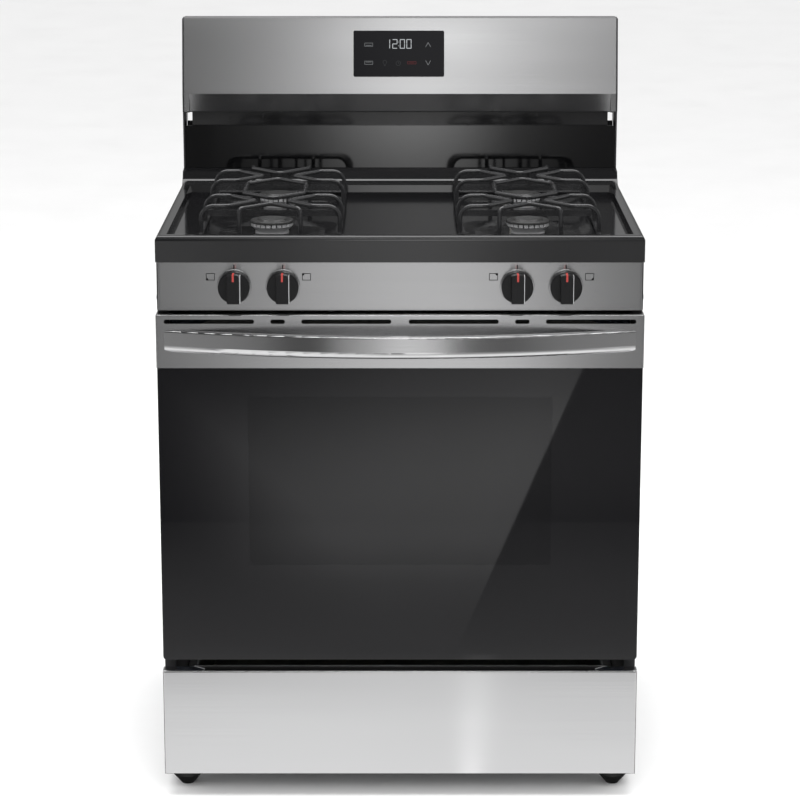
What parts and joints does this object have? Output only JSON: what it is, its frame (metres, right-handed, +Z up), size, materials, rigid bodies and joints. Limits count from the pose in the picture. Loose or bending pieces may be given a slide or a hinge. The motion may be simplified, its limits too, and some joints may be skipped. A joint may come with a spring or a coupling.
{
  "type": "freestanding gas range",
  "caption": "Freestanding gas range with sealed burners and wire grates, upright console, oven with drop-down door and racks, storage drawer and levelling legs.",
  "frame": {"origin": "on the floor, under the middle of the range's bounding box", "axes": "+Z up, +Y towards the wall behind the range, +X to the right of a person facing it"},
  "size_m": [0.759, 0.7209, 1.194],
  "materials": {
    "stainless": "horizontal brushed grain, satin",
    "black_enamel": "gloss porcelain enamel",
    "case_paint": "fine-textured satin paint",
    "door_glass": "gloss black glass, slightly see-through at the window",
    "clear_glass": "clear heat-resistant glass",
    "display_black": "gloss black lens",
    "grate_black": "satin black porcelain on steel wire",
    "cast_aluminium": "as cast",
    "zinc_steel": "zinc-coated sheet",
    "brass": "machined",
    "oven_enamel": "speckled porcelain enamel",
    "glass_wool": "loose fibre blanket",
    "woven_gasket": "woven glass-fibre sleeve",
    "rack_chrome": "bright plated wire",
    "knob_black": "satin moulded plastic",
    "foot_black": "matt moulded plastic",
    "ceramic": "white alumina",
    "module_plastic": "moulded plastic",
    "circuit_board": "coated board"
  },
  "bodies": {
    "body": {"control_panel": "stainless", "console_panel": "stainless", "cooktop_pan": "black_enamel", "backsplash": "black_enamel", "side_panel_left": "case_paint", "side_panel_right": "case_paint", "console_end_caps": "case_paint", "backguard_rear_cover": "case_paint", "oven_lamp": "clear_glass", "display_glass": "display_black", "burner_bases": "cast_aluminium", "feed_tubes": "cast_aluminium", "back_panel": "zinc_steel", "base_frame": "zinc_steel", "hinge_receivers": "zinc_steel", "drawer_rails": "zinc_steel", "oven_vent_duct": "zinc_steel", "case_screws": "zinc_steel", "bake_burner": "zinc_steel", "broil_burner": "zinc_steel", "gas_manifold": "zinc_steel", "pressure_regulator": "zinc_steel", "valve_bodies": "brass", "front_frame": "oven_enamel", "oven_liner": "oven_enamel", "oven_floor_panel": "oven_enamel", "oven_insulation": "glass_wool", "door_gasket": "woven_gasket", "igniters": "ceramic", "spark_module": "module_plastic", "control_board": "circuit_board"},
    "door": {"door_outer_glass": "door_glass", "door_trim": "stainless", "door_handle": "stainless", "door_inner_panel": "oven_enamel", "door_inner_window": "clear_glass", "door_hinge_arms": "zinc_steel"},
    "drawer": {"drawer_front": "stainless", "drawer_pull": "black_enamel", "drawer_box": "zinc_steel"},
    "oven_rack_lower": {"oven_rack_lower": "rack_chrome"},
    "oven_rack_upper": {"oven_rack_upper": "rack_chrome"},
    "grate_left": {"grate_left": "grate_black"},
    "grate_right": {"grate_right": "grate_black"},
    "burner_cap_left_front": {"burner_cap_left_front": "black_enamel"},
    "burner_cap_left_rear": {"burner_cap_left_rear": "black_enamel"},
    "burner_cap_right_front": {"burner_cap_right_front": "black_enamel"},
    "burner_cap_right_rear": {"burner_cap_right_rear": "black_enamel"},
    "valve_stem_1": {"valve_stem_1": "zinc_steel"},
    "knob_1": {"knob_1": "knob_black"},
    "valve_stem_2": {"valve_stem_2": "zinc_steel"},
    "knob_2": {"knob_2": "knob_black"},
    "valve_stem_3": {"valve_stem_3": "zinc_steel"},
    "knob_3": {"knob_3": "knob_black"},
    "valve_stem_4": {"valve_stem_4": "zinc_steel"},
    "knob_4": {"knob_4": "knob_black"},
    "levelling_leg_left_front": {"levelling_leg_left_front": "foot_black"},
    "levelling_leg_left_rear": {"levelling_leg_left_rear": "foot_black"},
    "levelling_leg_right_front": {"levelling_leg_right_front": "foot_black"},
    "levelling_leg_right_rear": {"levelling_leg_right_rear": "foot_black"}
  },
  "joints": [
    {"name": "door_hinge", "type": "hinge", "parent": "body", "child": "door", "pos_m": [0, -0.288, 0.24], "axis": [1, 0, 0], "range_deg": [0, 90], "stiffness_Nm_per_rad": 12, "springref_deg": -20.05},
    {"name": "drawer_slide", "type": "slide", "parent": "body", "child": "drawer", "axis": [0, -1, 0], "range_m": [0, 0.4]},
    {"name": "rack_lower_slide", "type": "slide", "parent": "body", "child": "oven_rack_lower", "axis": [0, -1, 0], "range_m": [0, 0.03]},
    {"name": "rack_upper_slide", "type": "slide", "parent": "body", "child": "oven_rack_upper", "axis": [0, -1, 0], "range_m": [0, 0.03]},
    {"name": "grate_left_lift", "type": "slide", "parent": "body", "child": "grate_left", "axis": [0, 0, 1], "range_m": [0, 0.1]},
    {"name": "grate_right_lift", "type": "slide", "parent": "body", "child": "grate_right", "axis": [0, 0, 1], "range_m": [0, 0.1]},
    {"name": "cap_left_front_lift", "type": "slide", "parent": "body", "child": "burner_cap_left_front", "axis": [0, 0, 1], "range_m": [0, 0.02]},
    {"name": "cap_left_rear_lift", "type": "slide", "parent": "body", "child": "burner_cap_left_rear", "axis": [0, 0, 1], "range_m": [0, 0.02]},
    {"name": "cap_right_front_lift", "type": "slide", "parent": "body", "child": "burner_cap_right_front", "axis": [0, 0, 1], "range_m": [0, 0.02]},
    {"name": "cap_right_rear_lift", "type": "slide", "parent": "body", "child": "burner_cap_right_rear", "axis": [0, 0, 1], "range_m": [0, 0.02]},
    {"name": "knob_1_turn", "type": "hinge", "parent": "body", "child": "valve_stem_1", "pos_m": [-0.2575, -0.2885, 0.838], "axis": [0, -1, 0], "range_deg": [0, 250]},
    {"name": "knob_1_push", "type": "slide", "parent": "valve_stem_1", "child": "knob_1", "axis": [0, 1, 0], "range_m": [0, 0.003], "stiffness_N_per_m": 600, "springref_m": -0.003},
    {"name": "knob_2_turn", "type": "hinge", "parent": "body", "child": "valve_stem_2", "pos_m": [-0.1818, -0.2885, 0.838], "axis": [0, -1, 0], "range_deg": [0, 250]},
    {"name": "knob_2_push", "type": "slide", "parent": "valve_stem_2", "child": "knob_2", "axis": [0, 1, 0], "range_m": [0, 0.003], "stiffness_N_per_m": 600, "springref_m": -0.003},
    {"name": "knob_3_turn", "type": "hinge", "parent": "body", "child": "valve_stem_3", "pos_m": [0.1818, -0.2885, 0.838], "axis": [0, -1, 0], "range_deg": [0, 250]},
    {"name": "knob_3_push", "type": "slide", "parent": "valve_stem_3", "child": "knob_3", "axis": [0, 1, 0], "range_m": [0, 0.003], "stiffness_N_per_m": 600, "springref_m": -0.003},
    {"name": "knob_4_turn", "type": "hinge", "parent": "body", "child": "valve_stem_4", "pos_m": [0.2575, -0.2885, 0.838], "axis": [0, -1, 0], "range_deg": [0, 250]},
    {"name": "knob_4_push", "type": "slide", "parent": "valve_stem_4", "child": "knob_4", "axis": [0, 1, 0], "range_m": [0, 0.003], "stiffness_N_per_m": 600, "springref_m": -0.003},
    {"name": "leg_left_front_turn", "type": "hinge", "parent": "body", "child": "levelling_leg_left_front", "pos_m": [-0.348, -0.238, 0.03], "axis": [0, 0, 1], "range_deg": [-180, 180]},
    {"name": "leg_left_rear_turn", "type": "hinge", "parent": "body", "child": "levelling_leg_left_rear", "pos_m": [-0.348, 0.3, 0.03], "axis": [0, 0, 1], "range_deg": [-180, 180]},
    {"name": "leg_right_front_turn", "type": "hinge", "parent": "body", "child": "levelling_leg_right_front", "pos_m": [0.348, -0.238, 0.03], "axis": [0, 0, 1], "range_deg": [-180, 180]},
    {"name": "leg_right_rear_turn", "type": "hinge", "parent": "body", "child": "levelling_leg_right_rear", "pos_m": [0.348, 0.3, 0.03], "axis": [0, 0, 1], "range_deg": [-180, 180]}
  ]
}
